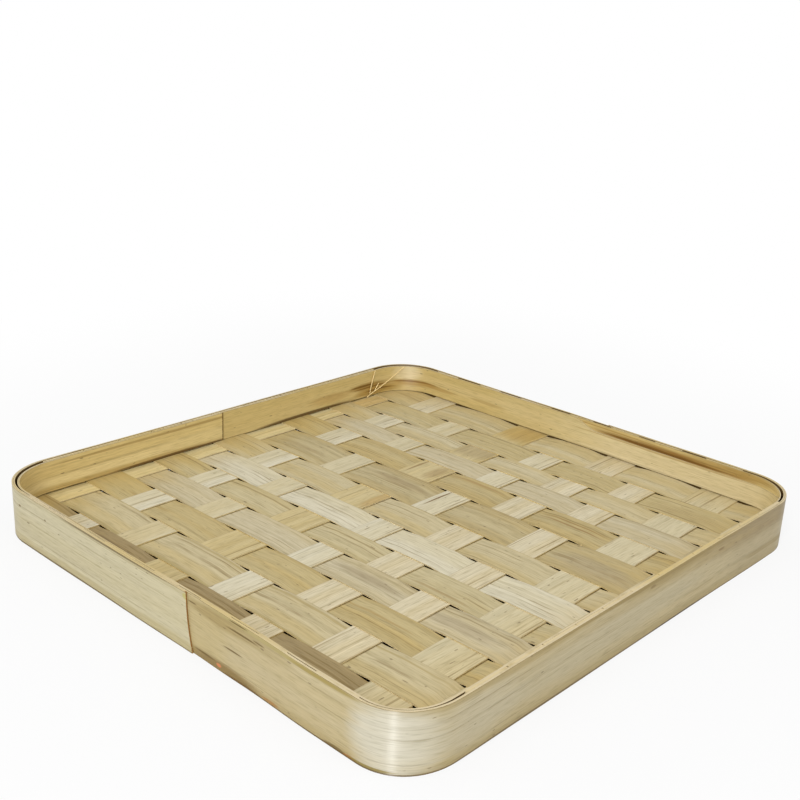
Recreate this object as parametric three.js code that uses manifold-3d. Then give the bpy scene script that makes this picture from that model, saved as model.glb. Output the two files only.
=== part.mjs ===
// A shallow square tray of split bamboo. A mat of thin splints in plain weave makes the floor. Its
// ends turn up and stand clamped between two upright hoops, and each hoop is two bent strips whose
// ends lap over one another.
//
// Millimetres, +Z up. The origin is the middle of the tray on the surface that it stands on. The
// longer sides run along X, the shorter ones along Y. The front corner is at -X -Y.

import * as THREE from "three";
import * as BufferGeometryUtils from "three/addons/utils/BufferGeometryUtils.js";
import Module from "manifold-3d";

const wasm = await Module();
wasm.setup();

// Overall size, over the outer hoop where it is one strip thick.
const TRAY_LENGTH = 317;
const TRAY_WIDTH = 302;
const CORNER_RADII = { left: 29.5, back: 29.5, right: 28.5, front: 26.5 };

// Heights above the table.
const OUTER_HOOP_HEIGHT = 29;
const FLOOR_LEVEL = 9.3; // middle of the warps, which lie flat
const MAT_END_DROP = 1; // the turned-up ends stop this far below the outer hoop's top edge

// Thicknesses, and the play between pieces that press on one another.
const OUTER_STRIP_THICKNESS = 1.5;
const INNER_STRIP_THICKNESS = 1.4;
const SPLINT_THICKNESS = 0.8;
const PLAY = 0.3;

// The outer hoop. Each strip starts at a visible end, runs on clockwise as seen from above, and ends
// in a tail that lies under the other strip. An end's place is measured from the middle of its side.
const OUTER_END_ON_FRONT_LEFT = -20;
const OUTER_END_ON_BACK_RIGHT = 22.5;
const OUTER_LAP_LENGTH = 200;

// The inner hoop. Its strips run anticlockwise, and the visible ends lie inside the hidden tails.
const INNER_END_ON_BACK_LEFT = -9;
const INNER_END_ON_FRONT_RIGHT = -10;
const INNER_LAP_LENGTH = 284;
const INNER_A_TOP_DROP = 0.5; // below the outer hoop's top edge
const INNER_B_TOP_DROP = 1.8;

// A strip settles from a lap back against the mat over this length.
const SETTLE_LENGTH = 60;
const SETTLE_STEPS = 6;
const CORNER_STEPS = 12;

// Wefts run along Y. They lie edge to edge, from the front left side to the back right side. Their
// widths are in proportion to one another and share out the floor that the gaps leave.
const WEFT_WIDTHS = [24.6, 24.6, 22.7, 22, 20.1, 22.1, 23.5, 30, 23.8, 19.7, 19.5, 22.5, 24.9];
const WEFT_GAP = 0.6;
// How far each line between two wefts drifts along X per millimetre of Y, from the first line on.
const WEFT_LINE_DRIFTS = [0, -0.012, -0.015, -0.016, -0.02, -0.015, -0.015, -0.008, -0.012, -0.014,
  -0.024, -0.026, -0.027, 0];

// Warps run along X, spaced apart, from the front right side to the back left side. Widths and gaps
// together share out the floor.
const WARP_WIDTHS = [17.3, 23.5, 18.1, 20.3, 17.3, 24.2, 17.3, 18.5, 12];
const WARP_GAPS = [9.9, 16.8, 14.8, 14.7, 14.8, 18.1, 17.2, 18.1];
const WARP_DRIFTS = [0, 0.029, 0.024, 0.002, -0.007, -0.007, -0.01, 0.007, 0];

const BEND_RADIUS = 0.9; // middle of a splint, where it turns up
const BEND_STEPS = 4;
const RAMP_CLEARANCE = 1; // a weft stays level this far past a warp's edge
const RAMP_STEPS = 4;
const CORNER_REACH = 4; // an end turns up where it reaches no further than this into a corner

// Bamboo tones.
const TONES = {
  pale: 0xddd2ac,
  cream: 0xd6c99e,
  straw: 0xcbbb8a,
  gold: 0xc2a970,
  tan: 0xb59d6c,
  grey: 0xb5a983,
};
const WEFT_TONES = ["tan", "straw", "gold", "grey", "gold", "pale", "straw", "grey", "gold", "grey",
  "straw", "grey", "straw"];
const WARP_TONES = ["cream", "straw", "cream", "cream", "pale", "cream", "pale", "pale", "straw"];

// What follows from the sizes above.

// The hoops are measured from the mat's upturned wall, the loop through the middle of its thickness.
const wallInset = OUTER_STRIP_THICKNESS + PLAY + SPLINT_THICKNESS / 2;
const wallX = TRAY_LENGTH / 2 - wallInset;
const wallY = TRAY_WIDTH / 2 - wallInset;
const wallRadii = Object.fromEntries(
  Object.entries(CORNER_RADII).map(([corner, radius]) => [corner, radius - wallInset]),
);
const widestCorner = Math.max(...Object.values(wallRadii));
const straightX = wallX - widestCorner;
const straightY = wallY - widestCorner;

const weaveStep = SPLINT_THICKNESS + PLAY; // a weft's rise over a warp, or its dip under one
const innerHoopBottom = FLOOR_LEVEL + weaveStep + SPLINT_THICKNESS / 2 + PLAY;
const matTop = OUTER_HOOP_HEIGHT - MAT_END_DROP;
const floorX = wallX - SPLINT_THICKNESS / 2 - PLAY - INNER_STRIP_THICKNESS;
const floorY = wallY - SPLINT_THICKNESS / 2 - PLAY - INNER_STRIP_THICKNESS;

// The wall's four sides, clockwise from -X: which way each is out and runs, how far its middle lies
// from the tray's, half its length to the corner it would have if it were square, and the corner.
const SIDES = [
  { out: [-1, 0], along: [0, 1], reach: wallX, half: wallY, radius: wallRadii.left },
  { out: [0, 1], along: [1, 0], reach: wallY, half: wallX, radius: wallRadii.back },
  { out: [1, 0], along: [0, -1], reach: wallX, half: wallY, radius: wallRadii.right },
  { out: [0, -1], along: [-1, 0], reach: wallY, half: wallX, radius: wallRadii.front },
];

// Where each side's middle lies round the wall, and where the corner after it starts and ends.
let wholeLoop = 0;
for (const [index, side] of SIDES.entries()) {
  side.middle = wholeLoop;
  side.cornerStart = side.middle + side.half - side.radius;
  side.cornerEnd = side.cornerStart + (Math.PI / 2) * side.radius;
  wholeLoop = side.cornerEnd + SIDES[(index + 1) % 4].half - side.radius;
}

// The point that lies `place` millimetres round the wall and `offset` outside it.
function loopPoint(place, offset) {
  const round = THREE.MathUtils.euclideanModulo(place, wholeLoop);
  const index = SIDES.findLastIndex((candidate) => candidate.middle <= round);
  const side = SIDES[index];
  const next = SIDES[(index + 1) % 4];
  const onSide = (which, past) => new THREE.Vector2(
    which.out[0] * (which.reach + offset) + which.along[0] * past,
    which.out[1] * (which.reach + offset) + which.along[1] * past,
  );
  if (round <= side.cornerStart) {
    return onSide(side, round - side.middle);
  }
  if (round >= side.cornerEnd) {
    return onSide(next, round - side.cornerEnd + side.radius - next.half);
  }
  const angle = (round - side.cornerStart) / side.radius;
  const onArc = (axis) => side.out[axis] * (side.reach - side.radius)
    + side.along[axis] * (side.half - side.radius)
    + (side.radius + offset) * (side.out[axis] * Math.cos(angle) + next.out[axis] * Math.sin(angle));
  return new THREE.Vector2(onArc(0), onArc(1));
}

// Places round the loop that a strip between `from` and `to` needs a point at, in rising order.
function stripPlaces(from, to, extra) {
  const places = [from, to, ...extra];
  for (let turn = -1; turn <= 1; turn++) {
    for (const side of SIDES) {
      for (let step = 0; step <= CORNER_STEPS; step++) {
        const onCorner = THREE.MathUtils.lerp(side.cornerStart, side.cornerEnd, step / CORNER_STEPS);
        places.push(onCorner + turn * wholeLoop);
      }
    }
  }
  const inside = places.filter((place) => place >= from && place <= to).sort((a, b) => a - b);
  return inside.filter((place, index) => index === 0 || place - inside[index - 1] > 1e-6);
}

// A bent strip. It starts at its visible end, one layer out over the other strip's tail, settles
// against the mat once the tail has ended, and runs on to end in a tail of its own.
function hoopStrip({ start, direction, length, lap, layers, bottom, top }) {
  const end = start + direction * length;
  const from = Math.min(start, end);
  const to = Math.max(start, end);
  const settle = [];
  for (let step = 0; step <= SETTLE_STEPS; step++) {
    settle.push(start + direction * (lap + (SETTLE_LENGTH * step) / SETTLE_STEPS));
  }
  const height = (place) => {
    const share = (Math.abs(place - start) - lap) / SETTLE_LENGTH;
    return 1 - THREE.MathUtils.smoothstep(share, 0, 1);
  };
  const places = stripPlaces(from, to, settle);
  const face = (side) => places.map((place) => {
    const middle = THREE.MathUtils.lerp(layers.against, layers.over, height(place));
    return loopPoint(place, middle + (side * layers.thickness) / 2);
  });
  const outline = new THREE.Shape([...face(1), ...face(-1).reverse()]);
  const geometry = new THREE.ExtrudeGeometry(outline, { depth: top - bottom, bevelEnabled: false });
  return geometry.translate(0, 0, bottom);
}

// The middle of each layer of the two hoops, as an offset from the mat's wall.
const matToOuter = SPLINT_THICKNESS / 2 + PLAY + OUTER_STRIP_THICKNESS / 2;
const outerLayers = {
  thickness: OUTER_STRIP_THICKNESS,
  against: matToOuter,
  over: matToOuter + OUTER_STRIP_THICKNESS + PLAY,
};
const matToInner = SPLINT_THICKNESS / 2 + PLAY + INNER_STRIP_THICKNESS / 2;
const innerLayers = {
  thickness: INNER_STRIP_THICKNESS,
  against: -matToInner,
  over: -(matToInner + INNER_STRIP_THICKNESS + PLAY),
};

// The four ends that show, as places round the loop.
const outerEndA = OUTER_END_ON_FRONT_LEFT;
const outerEndB = SIDES[2].middle + OUTER_END_ON_BACK_RIGHT;
const innerEndA = SIDES[1].middle + INNER_END_ON_BACK_LEFT;
const innerEndB = SIDES[3].middle + INNER_END_ON_FRONT_RIGHT;

function outerStrip(start, nextEnd) {
  const run = THREE.MathUtils.euclideanModulo(nextEnd - start, wholeLoop);
  return hoopStrip({
    start,
    direction: 1,
    length: run + OUTER_LAP_LENGTH,
    lap: OUTER_LAP_LENGTH,
    layers: outerLayers,
    bottom: 0,
    top: OUTER_HOOP_HEIGHT,
  });
}

function innerStrip(start, nextEnd, topDrop) {
  const run = THREE.MathUtils.euclideanModulo(start - nextEnd, wholeLoop);
  return hoopStrip({
    start,
    direction: -1,
    length: run + INNER_LAP_LENGTH,
    lap: INNER_LAP_LENGTH,
    layers: innerLayers,
    bottom: innerHoopBottom,
    top: OUTER_HOOP_HEIGHT - topDrop,
  });
}

// Lays splints side by side across the floor, from `start` on. Each splint gets the lines of its two
// edges: a place at the middle of the floor and a drift.
function laySplints(start, widths, gaps, lowDrifts, highDrifts) {
  let edge = start;
  return widths.map((width, index) => {
    const splint = {
      low: { at: edge, drift: lowDrifts[index] },
      high: { at: edge + width, drift: highDrifts[index] },
    };
    edge += width + gaps[index];
    return splint;
  });
}

const total = (list) => list.reduce((sum, value) => sum + value, 0);
const scaled = (list, scale) => list.map((value) => value * scale);

const weftReach = floorX - 2 * PLAY;
const weftGaps = WEFT_WIDTHS.slice(1).map(() => WEFT_GAP);
const weftScale = (2 * weftReach - total(weftGaps)) / total(WEFT_WIDTHS);
const weftWidths = scaled(WEFT_WIDTHS, weftScale);
const wefts = laySplints(-weftReach, weftWidths, weftGaps, WEFT_LINE_DRIFTS, WEFT_LINE_DRIFTS.slice(1));

const warpReach = floorY - PLAY;
const warpScale = (2 * warpReach) / (total(WARP_WIDTHS) + total(WARP_GAPS));
const warpWidths = scaled(WARP_WIDTHS, warpScale);
const warpGaps = scaled(WARP_GAPS, warpScale);
const warps = laySplints(-warpReach, warpWidths, warpGaps, WARP_DRIFTS, WARP_DRIFTS);

const edgeAt = (edge, place) => edge.at + edge.drift * place;
const middleOf = (splint) => (splint.low.at + splint.high.at) / 2;

// A splint seen from its edge: the line [distance along the splint, height] thickened to a ribbon.
function ribbonShape(line) {
  const normals = line.slice(1).map((point, index) => {
    const [fromAlong, fromUp] = line[index];
    return new THREE.Vector2(fromUp - point[1], point[0] - fromAlong).normalize();
  });
  const face = (side) => line.map(([along, up], index) => {
    const before = normals[Math.max(index - 1, 0)];
    const after = normals[Math.min(index, normals.length - 1)];
    const mitre = before.clone().add(after).normalize();
    const reach = (side * SPLINT_THICKNESS) / 2 / mitre.dot(before);
    return new THREE.Vector2(along + mitre.x * reach, up + mitre.y * reach);
  });
  return new THREE.Shape([...face(1), ...face(-1).reverse()]);
}

// The end of a splint at height `level`: a tight bend that stands up at the wall, or a flat end that
// runs out to the wall and is trimmed to the rounded corner afterwards.
function endLine(wall, level, upturned) {
  if (!upturned) {
    return [[wall + SPLINT_THICKNESS, level]];
  }
  const points = [];
  for (let step = 0; step <= BEND_STEPS; step++) {
    const angle = ((Math.PI / 2) * step) / BEND_STEPS;
    points.push([
      wall - BEND_RADIUS + BEND_RADIUS * Math.sin(angle),
      level + BEND_RADIUS - BEND_RADIUS * Math.cos(angle),
    ]);
  }
  points.push([wall, matTop]);
  return points;
}

// Joins the two ends of a splint to the stretch between them.
function splintLine(wall, levels, between, upturned) {
  const start = endLine(wall, levels[0], upturned).map(([along, up]) => [-along, up]).reverse();
  return [...start, ...between, ...endLine(wall, levels[1], upturned)];
}

// Sweeps the ribbon across the splint's width, between its two edge lines.
function splintGeometry(line, splint, runsAlongX) {
  const geometry = new THREE.ExtrudeGeometry(ribbonShape(line), { depth: 1, bevelEnabled: false });
  const position = geometry.getAttribute("position");
  for (let index = 0; index < position.count; index++) {
    const along = position.getX(index);
    const up = position.getY(index);
    const share = position.getZ(index);
    const low = edgeAt(splint.low, along);
    const high = edgeAt(splint.high, along);
    if (runsAlongX) {
      position.setXYZ(index, along, THREE.MathUtils.lerp(high, low, share), up);
    } else {
      position.setXYZ(index, THREE.MathUtils.lerp(low, high, share), along, up);
    }
  }
  return geometry;
}

// Whether a splint's ends stand on the straight part of the wall, and so can turn up.
function turnsUp(splint, wall, straight) {
  const reach = [splint.low, splint.high].flatMap((edge) => [edgeAt(edge, wall), edgeAt(edge, -wall)]);
  return Math.max(...reach.map(Math.abs)) < straight + CORNER_REACH;
}

function toManifold(geometry) {
  const bare = geometry.clone();
  bare.deleteAttribute("normal");
  bare.deleteAttribute("uv");
  const merged = BufferGeometryUtils.mergeVertices(bare, 1e-5);
  return new wasm.Manifold(new wasm.Mesh({
    numProp: 3,
    vertProperties: new Float32Array(merged.getAttribute("position").array),
    triVerts: new Uint32Array(merged.getIndex().array),
  }));
}

function fromManifold(solid) {
  const mesh = solid.getMesh();
  const geometry = new THREE.BufferGeometry();
  geometry.setAttribute("position", new THREE.BufferAttribute(mesh.vertProperties, 3));
  geometry.setIndex(new THREE.BufferAttribute(mesh.triVerts, 1));
  return geometry;
}

// The room inside the outer hoop, which flat ends are trimmed to.
function matRoom() {
  const places = stripPlaces(0, wholeLoop, []).slice(0, -1);
  const outline = new THREE.Shape(places.map((place) => loopPoint(place, SPLINT_THICKNESS / 2)));
  const geometry = new THREE.ExtrudeGeometry(outline, { depth: OUTER_HOOP_HEIGHT, bevelEnabled: false });
  return toManifold(geometry);
}

// The level run of a weft, over one warp and under the next, at the weft's own place along X.
function weftRun(weft, levels) {
  const place = middleOf(weft);
  const points = [];
  warps.forEach((warp, index) => {
    const low = edgeAt(warp.low, place) - RAMP_CLEARANCE;
    const high = edgeAt(warp.high, place) + RAMP_CLEARANCE;
    if (index > 0) {
      const [from, fromLevel] = points[points.length - 1];
      for (let step = 1; step < RAMP_STEPS; step++) {
        const share = step / RAMP_STEPS;
        const rise = THREE.MathUtils.smoothstep(share, 0, 1);
        points.push([
          THREE.MathUtils.lerp(from, low, share),
          THREE.MathUtils.lerp(fromLevel, levels[index], rise),
        ]);
      }
      points.push([low, levels[index]]);
    }
    if (index < warps.length - 1) {
      points.push([high, levels[index]]);
    }
  });
  return points;
}

function weftGeometry(weft, number) {
  const levels = warps.map((warp, index) => FLOOR_LEVEL + ((index + number) % 2 ? 1 : -1) * weaveStep);
  const upturned = turnsUp(weft, wallY, straightX);
  const ends = [levels[0], levels[levels.length - 1]];
  const line = splintLine(wallY, ends, weftRun(weft, levels), upturned);
  const geometry = splintGeometry(line, weft, false);
  return upturned ? geometry : fromManifold(toManifold(geometry).intersect(matRoom()));
}

function warpGeometry(warp) {
  const upturned = turnsUp(warp, wallX, straightY);
  const line = splintLine(wallX, [FLOOR_LEVEL, FLOOR_LEVEL], [], upturned);
  const geometry = splintGeometry(line, warp, true);
  return upturned ? geometry : fromManifold(toManifold(geometry).intersect(matRoom()));
}

function addMesh(group, name, geometry, tone) {
  const material = new THREE.MeshStandardMaterial({ color: TONES[tone], roughness: 0.55, metalness: 0 });
  const mesh = new THREE.Mesh(geometry, material);
  mesh.name = name;
  group.add(mesh);
}

const tray = new THREE.Group();
addMesh(tray, "outer_strip_a", outerStrip(outerEndA, outerEndB), "straw");
addMesh(tray, "outer_strip_b", outerStrip(outerEndB, outerEndA), "gold");
addMesh(tray, "inner_strip_a", innerStrip(innerEndA, innerEndB, INNER_A_TOP_DROP), "cream");
addMesh(tray, "inner_strip_b", innerStrip(innerEndB, innerEndA, INNER_B_TOP_DROP), "straw");
wefts.forEach((weft, index) => {
  const name = `weft_${String(index + 1).padStart(2, "0")}`;
  addMesh(tray, name, weftGeometry(weft, index + 1), WEFT_TONES[index]);
});
warps.forEach((warp, index) => {
  addMesh(tray, `warp_${index + 1}`, warpGeometry(warp), WARP_TONES[index]);
});

export default tray;
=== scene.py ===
# %% [markdown]
# A shallow square tray of split bamboo. Thirteen wide splints and nine narrower ones are woven into a
# mat. The mat's ends turn up and are held between two upright hoops, each of two bent strips that lap.
#
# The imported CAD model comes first, as a fixed frame: every piece below stands where one of its nodes
# stands, so nothing has to be fitted by eye.

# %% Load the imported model
import bisect
import math
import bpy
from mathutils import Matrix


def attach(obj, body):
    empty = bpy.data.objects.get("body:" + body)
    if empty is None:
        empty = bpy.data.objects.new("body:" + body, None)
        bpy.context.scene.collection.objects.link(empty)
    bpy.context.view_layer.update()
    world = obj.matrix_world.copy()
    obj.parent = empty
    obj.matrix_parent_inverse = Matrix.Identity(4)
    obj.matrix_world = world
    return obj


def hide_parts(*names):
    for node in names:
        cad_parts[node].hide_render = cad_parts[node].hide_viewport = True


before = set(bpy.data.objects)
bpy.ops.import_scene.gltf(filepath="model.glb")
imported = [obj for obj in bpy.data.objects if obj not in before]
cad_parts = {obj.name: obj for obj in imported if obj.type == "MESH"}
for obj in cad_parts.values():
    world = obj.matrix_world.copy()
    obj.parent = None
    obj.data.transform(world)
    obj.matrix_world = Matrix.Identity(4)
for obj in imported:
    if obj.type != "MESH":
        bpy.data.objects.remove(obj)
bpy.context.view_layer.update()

from types import SimpleNamespace

import bmesh
import bpy
from mathutils import Matrix, Vector, noise

# %% [markdown]
# These are the CAD source's own sizes, in metres, because this script can't read that file. The longer
# sides run along X. The front corner, nearest the camera, is at minus X and minus Y.

# %% Sizes of the tray
TRAY_LENGTH = 0.317
TRAY_WIDTH = 0.302
CORNER_RADII = {"left": 0.0295, "back": 0.0295, "right": 0.0285, "front": 0.0265}
HOOP_HEIGHT = 0.029
FLOOR_LEVEL = 0.0093
MAT_TOP = 0.0286
OUTER_THICKNESS = 0.0015
INNER_THICKNESS = 0.0014
SPLINT_THICKNESS = 0.0008
PLAY = 0.0003
HOOP_SINKS = 0.0002  # the inner hoop presses this far into the mat's hollows

wall_inset = OUTER_THICKNESS + PLAY + SPLINT_THICKNESS / 2
wall_x = TRAY_LENGTH / 2 - wall_inset
wall_y = TRAY_WIDTH / 2 - wall_inset
weave_step = SPLINT_THICKNESS + PLAY
inner_hoop_bottom = FLOOR_LEVEL + weave_step - HOOP_SINKS
print("mat's wall stands at", round(wall_x, 4), round(wall_y, 4))

# %% [markdown]
# Both hoops and the mat's upturned ends follow one loop: a rectangle with rounded corners, not quite
# alike, because the strips were bent by hand. A place is a distance round it, clockwise from above,
# from the middle of the minus X side. With a place and an offset outwards, a bent strip can be made
# flat first and wrapped afterwards.

# %% The loop that the hoops follow
SIDES = [
    {"out": (-1, 0), "along": (0, 1), "reach": wall_x, "half": wall_y, "corner": "left"},
    {"out": (0, 1), "along": (1, 0), "reach": wall_y, "half": wall_x, "corner": "back"},
    {"out": (1, 0), "along": (0, -1), "reach": wall_x, "half": wall_y, "corner": "right"},
    {"out": (0, -1), "along": (-1, 0), "reach": wall_y, "half": wall_x, "corner": "front"},
]
loop_length = 0.0
for index, side in enumerate(SIDES):
    after = SIDES[(index + 1) % 4]
    side["radius"] = CORNER_RADII[side["corner"]] - wall_inset
    side["middle"] = loop_length
    side["corner_start"] = side["middle"] + side["half"] - side["radius"]
    side["corner_end"] = side["corner_start"] + math.pi / 2 * side["radius"]
    loop_length = side["corner_end"] + after["half"] - side["radius"]


def loop_point(place, offset):
    """The point, seen from above, that lies `place` round the loop and `offset` outside it."""
    place %= loop_length
    index = max(i for i, side in enumerate(SIDES) if side["middle"] <= place)
    side, after = SIDES[index], SIDES[(index + 1) % 4]
    radius = side["radius"]
    before = min(place - side["corner_start"], 0.0)
    beyond = max(place - side["corner_end"], 0.0)
    turn = (place - side["corner_start"] - before - beyond) / radius
    outwards = side["reach"] - radius + (radius + offset) * math.cos(turn)
    onwards = side["half"] - radius + (radius + offset) * math.sin(turn) + before
    return tuple(
        side["out"][k] * outwards + side["along"][k] * onwards + after["along"][k] * beyond for k in (0, 1)
    )


print("once round the loop", round(loop_length, 4), "m")

# %% [markdown]
# The real tray isn't true: three sides bow out a little, and the mat is bent along with them. To bow
# each piece by itself would open gaps. So each is made for a true tray, and in the end every point
# goes through one and the same bend of space, which keeps neighbours neighbours.

# %% How the real sides bow
LEFT_BOW = 0.0013
LEFT_BOW_PAST_MIDDLE = 0.0005
LEFT_BOW_AT_FRONT = 0.00105
RIGHT_BOW_AT_BACK = 0.0005
RIGHT_BOW_AT_FRONT = 0.0008
BACK_BOW = 0.0005
BOW_STARTS = 0.030  # this far inside the wall
BOW_SPREADS = 0.028


def mix(a, b, share):
    return a + (b - a) * share


def smooth_step(share):
    share = min(max(share, 0.0), 1.0)
    return share * share * (3 - 2 * share)


def near_wall(reach, wall):
    """0 on the open floor, 1 at the wall."""
    return smooth_step((reach - wall + BOW_STARTS) / BOW_SPREADS)


def bowed(point):
    """Where a point of a true tray lies on the real one."""
    x, y, z = point
    left = LEFT_BOW + LEFT_BOW_PAST_MIDDLE * smooth_step((y + 0.020) / 0.050)
    left += LEFT_BOW_AT_FRONT * smooth_step((-0.055 - y) / 0.045)
    right = RIGHT_BOW_AT_BACK * smooth_step((0.110 - y) / 0.050)
    right += RIGHT_BOW_AT_FRONT * smooth_step((0.035 - y) / 0.055)
    bent_x = x + right * near_wall(x, wall_x) - left * near_wall(-x, wall_x)
    return Vector((bent_x, y + BACK_BOW * near_wall(y, wall_y), z))


print("the middle of the minus X side bows out to x", round(bowed((-wall_x, 0, 0)).x, 4))

# %% [markdown]
# Every piece is a ribbon: long, thin and a little uneven. One helper makes them all from a flat grid,
# because a grid has clean rows of faces along the grain, and moves each vertex to its place. Solidify
# gives the sheet its thickness, less where a vertex group says so, and Bevel rounds the sharp edges.
#
# The grid also writes two UV maps. "grain" holds metres along and across, so that a fibre has the same
# width on every piece. "edge" runs from -1 to 1 across and 0 to 1 along, to find the edges and ends.

# %% One helper for every ribbon of bamboo
FIBRE_HALF_WIDTH = 0.00034
SHARPEST_BEND = math.radians(50)


def fibre_points(sheet, knots):
    """A loose fibre in the same mesh: a narrow strip from knot to knot, which are in millimetres."""
    parts = len(knots) - 1
    rise = Vector(knots[-1]) - Vector(knots[0])
    sideways = Vector((-rise.z, 0, rise.x)).normalized() * FIBRE_HALF_WIDTH
    placed = {}
    for vertex in bmesh.ops.create_grid(sheet, x_segments=6 * parts, y_segments=1, size=1)["verts"]:
        s, t = (vertex.co.x + 1) / 2, vertex.co.y
        k = min(int(s * parts), parts - 1)
        point = Vector(knots[k]).lerp(Vector(knots[k + 1]), s * parts - k) / 1000
        placed[vertex] = (point + sideways * t, (s * 0.02, t * 0.0002), 0.25, (0, s))
    return placed


def thicken(piece, thickness, rounding):
    """Solidify and Bevel. The rim takes the material after that of the sheet."""
    thick = piece.modifiers.new("thickness", "SOLIDIFY")
    thick.thickness = thickness
    thick.vertex_group = "shaved"
    thick.offset = 0
    thick.use_even_offset = True
    thick.material_offset_rim = 1
    soft = piece.modifiers.new("rounded edges", "BEVEL")
    soft.width = rounding
    soft.segments = 2
    soft.limit_method = "ANGLE"
    soft.angle_limit = SHARPEST_BEND
    soft.harden_normals = True


def ribbon(name, steps, rows, place_of, thickness, rounding, fibres=()):
    """place_of(s, t) gives the point, its grain UV and the share of the thickness left there, for s
    from 0 to 1 along and t from -1 to 1 across."""
    sheet = bmesh.new()
    bmesh.ops.create_grid(sheet, x_segments=steps, y_segments=rows, size=1)
    grain = sheet.loops.layers.uv.new("grain")
    edge = sheet.loops.layers.uv.new("edge")
    shaved = sheet.verts.layers.deform.new()
    placed = {}
    for vertex in sheet.verts:
        s, t = (vertex.co.x + 1) / 2, vertex.co.y
        placed[vertex] = (*place_of(s, t), (t, s))
    splint_faces = set(sheet.faces)
    for knots in fibres:
        placed.update(fibre_points(sheet, knots))
    for face in sheet.faces:
        face.smooth = True
        face.material_index = 0 if face in splint_faces else 2
        for corner in face.loops:
            corner[grain].uv = placed[corner.vert][1]
            corner[edge].uv = placed[corner.vert][3]
    for vertex, (point, _, share, _) in placed.items():
        vertex.co = bowed(point)
        vertex[shaved][0] = share
    mesh = bpy.data.meshes.new(name)
    sheet.to_mesh(mesh)
    sheet.free()
    piece = bpy.data.objects.new(name, mesh)
    piece.vertex_groups.new(name="shaved")
    bpy.context.scene.collection.objects.link(piece)
    thicken(piece, thickness, rounding)
    return piece


def waver(seed, place, wavelength):
    """A gentle, repeatable unevenness between about -1 and 1."""
    return 1.6 * noise.noise(Vector((place / wavelength, seed * 7.31, seed * 1.7)))


print("ribbon helper ready")

# %% [markdown]
# A finish is a node tree, and its sums are easier to read as sums. Signal wraps one output socket, so
# that `1 - mask * 0.5` adds the Math nodes it needs. Finish keeps the tree of a material or a world
# and adds any other node from its type, its settings and its inputs.

# %% Shader sums written as Python
class Signal:
    """One socket's value, for arithmetic."""

    def __init__(self, finish, socket):
        self.finish = finish
        self.socket = socket

    def maths(self, operation, *values):
        return self.finish.node("ShaderNodeMath", {"operation": operation}, dict(enumerate(values)))

    def __add__(self, other):
        return self.maths("ADD", self, other)

    def __radd__(self, other):
        return self.maths("ADD", other, self)

    def __sub__(self, other):
        return self.maths("SUBTRACT", self, other)

    def __rsub__(self, other):
        return self.maths("SUBTRACT", other, self)

    def __mul__(self, other):
        return self.maths("MULTIPLY", self, other)

    def __rmul__(self, other):
        return self.maths("MULTIPLY", other, self)

    def __truediv__(self, other):
        return self.maths("DIVIDE", self, other)

    def __pow__(self, other):
        return self.maths("POWER", self, other)

    def size(self):
        return self.maths("ABSOLUTE", self)

    def least(self, other):
        return self.maths("MINIMUM", self, other)

    def most(self, other):
        return self.maths("MAXIMUM", self, other)

    def between(self, low, high):
        """0 at or below low, 1 at or above high, smooth between them. Low may be the higher value."""
        ramp = {"interpolation_type": "SMOOTHSTEP"}
        values = {"Value": self, "From Min": low, "From Max": high, "To Min": 0.0, "To Max": 1.0}
        if low > high:
            values.update({"From Min": high, "From Max": low, "To Min": 1.0, "To Max": 0.0})
        return self.finish.node("ShaderNodeMapRange", ramp, values)


class Finish:
    """A material or a world, and the nodes that make it."""

    def __init__(self, holder):
        self.holder = holder
        self.holder.use_nodes = True
        self.tree = self.holder.node_tree
        self.tree.nodes.clear()

    def node(self, kind, settings, values, output=0):
        made = self.tree.nodes.new(kind)
        for setting, value in settings.items():
            setattr(made, setting, value)
        for key, value in values.items():
            if isinstance(value, Signal):
                self.tree.links.new(value.socket, made.inputs[key])
            else:
                made.inputs[key].default_value = value
        return Signal(self, made.outputs[output]) if made.outputs else None

    def blend(self, share, first, second, how="MIX"):
        """Mixes two colours. Sockets 0, 6 and 7 are the factor and the two colours."""
        settings = {"data_type": "RGBA", "blend_type": how, "clamp_factor": True}
        return self.node("ShaderNodeMix", settings, {0: share, 6: first, 7: second}, output=2)

    def noise(self, vector, detail=2.0, roughness=0.5):
        values = {"Vector": vector, "Scale": 1.0, "Detail": detail, "Roughness": roughness}
        return self.node("ShaderNodeTexNoise", {"noise_dimensions": "3D"}, values)

    def vector(self, x, y, z):
        return self.node("ShaderNodeCombineXYZ", {}, {"X": x, "Y": y, "Z": z})

    def parts(self, vector):
        """The first two numbers of a vector."""
        return [self.node("ShaderNodeSeparateXYZ", {}, {"Vector": vector}, output=k) for k in (0, 1)]

    def map(self, name):
        """The two numbers of one of a ribbon's UV maps."""
        return self.parts(self.node("ShaderNodeUVMap", {"uv_map": name}, {}))

    def object_place(self):
        """The place in the tray, in metres: every piece's object stands at the origin."""
        return self.node("ShaderNodeTexCoord", {}, {}, output=3)

    def skin(self, colour, rough, relief, shine):
        """Ends a material with a Principled shader, bumped by the relief."""
        bump = self.node("ShaderNodeBump", {}, {"Strength": 0.4, "Distance": 0.0003, "Height": relief})
        values = {"Base Color": colour, "Roughness": rough, "Normal": bump, **shine}
        surface = self.node("ShaderNodeBsdfPrincipled", {}, values)
        self.node("ShaderNodeOutputMaterial", {}, {"Surface": surface})
        return self.holder


def tone(red, green, blue):
    """A colour on the everyday scale of 0 to 255, as the linear light that shaders reckon in."""
    parts = [value / 255 for value in (red, green, blue)]
    return (*[p / 12.92 if p <= 0.04045 else ((p + 0.055) / 1.055) ** 2.4 for p in parts], 1.0)


print("shader helpers ready")

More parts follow.
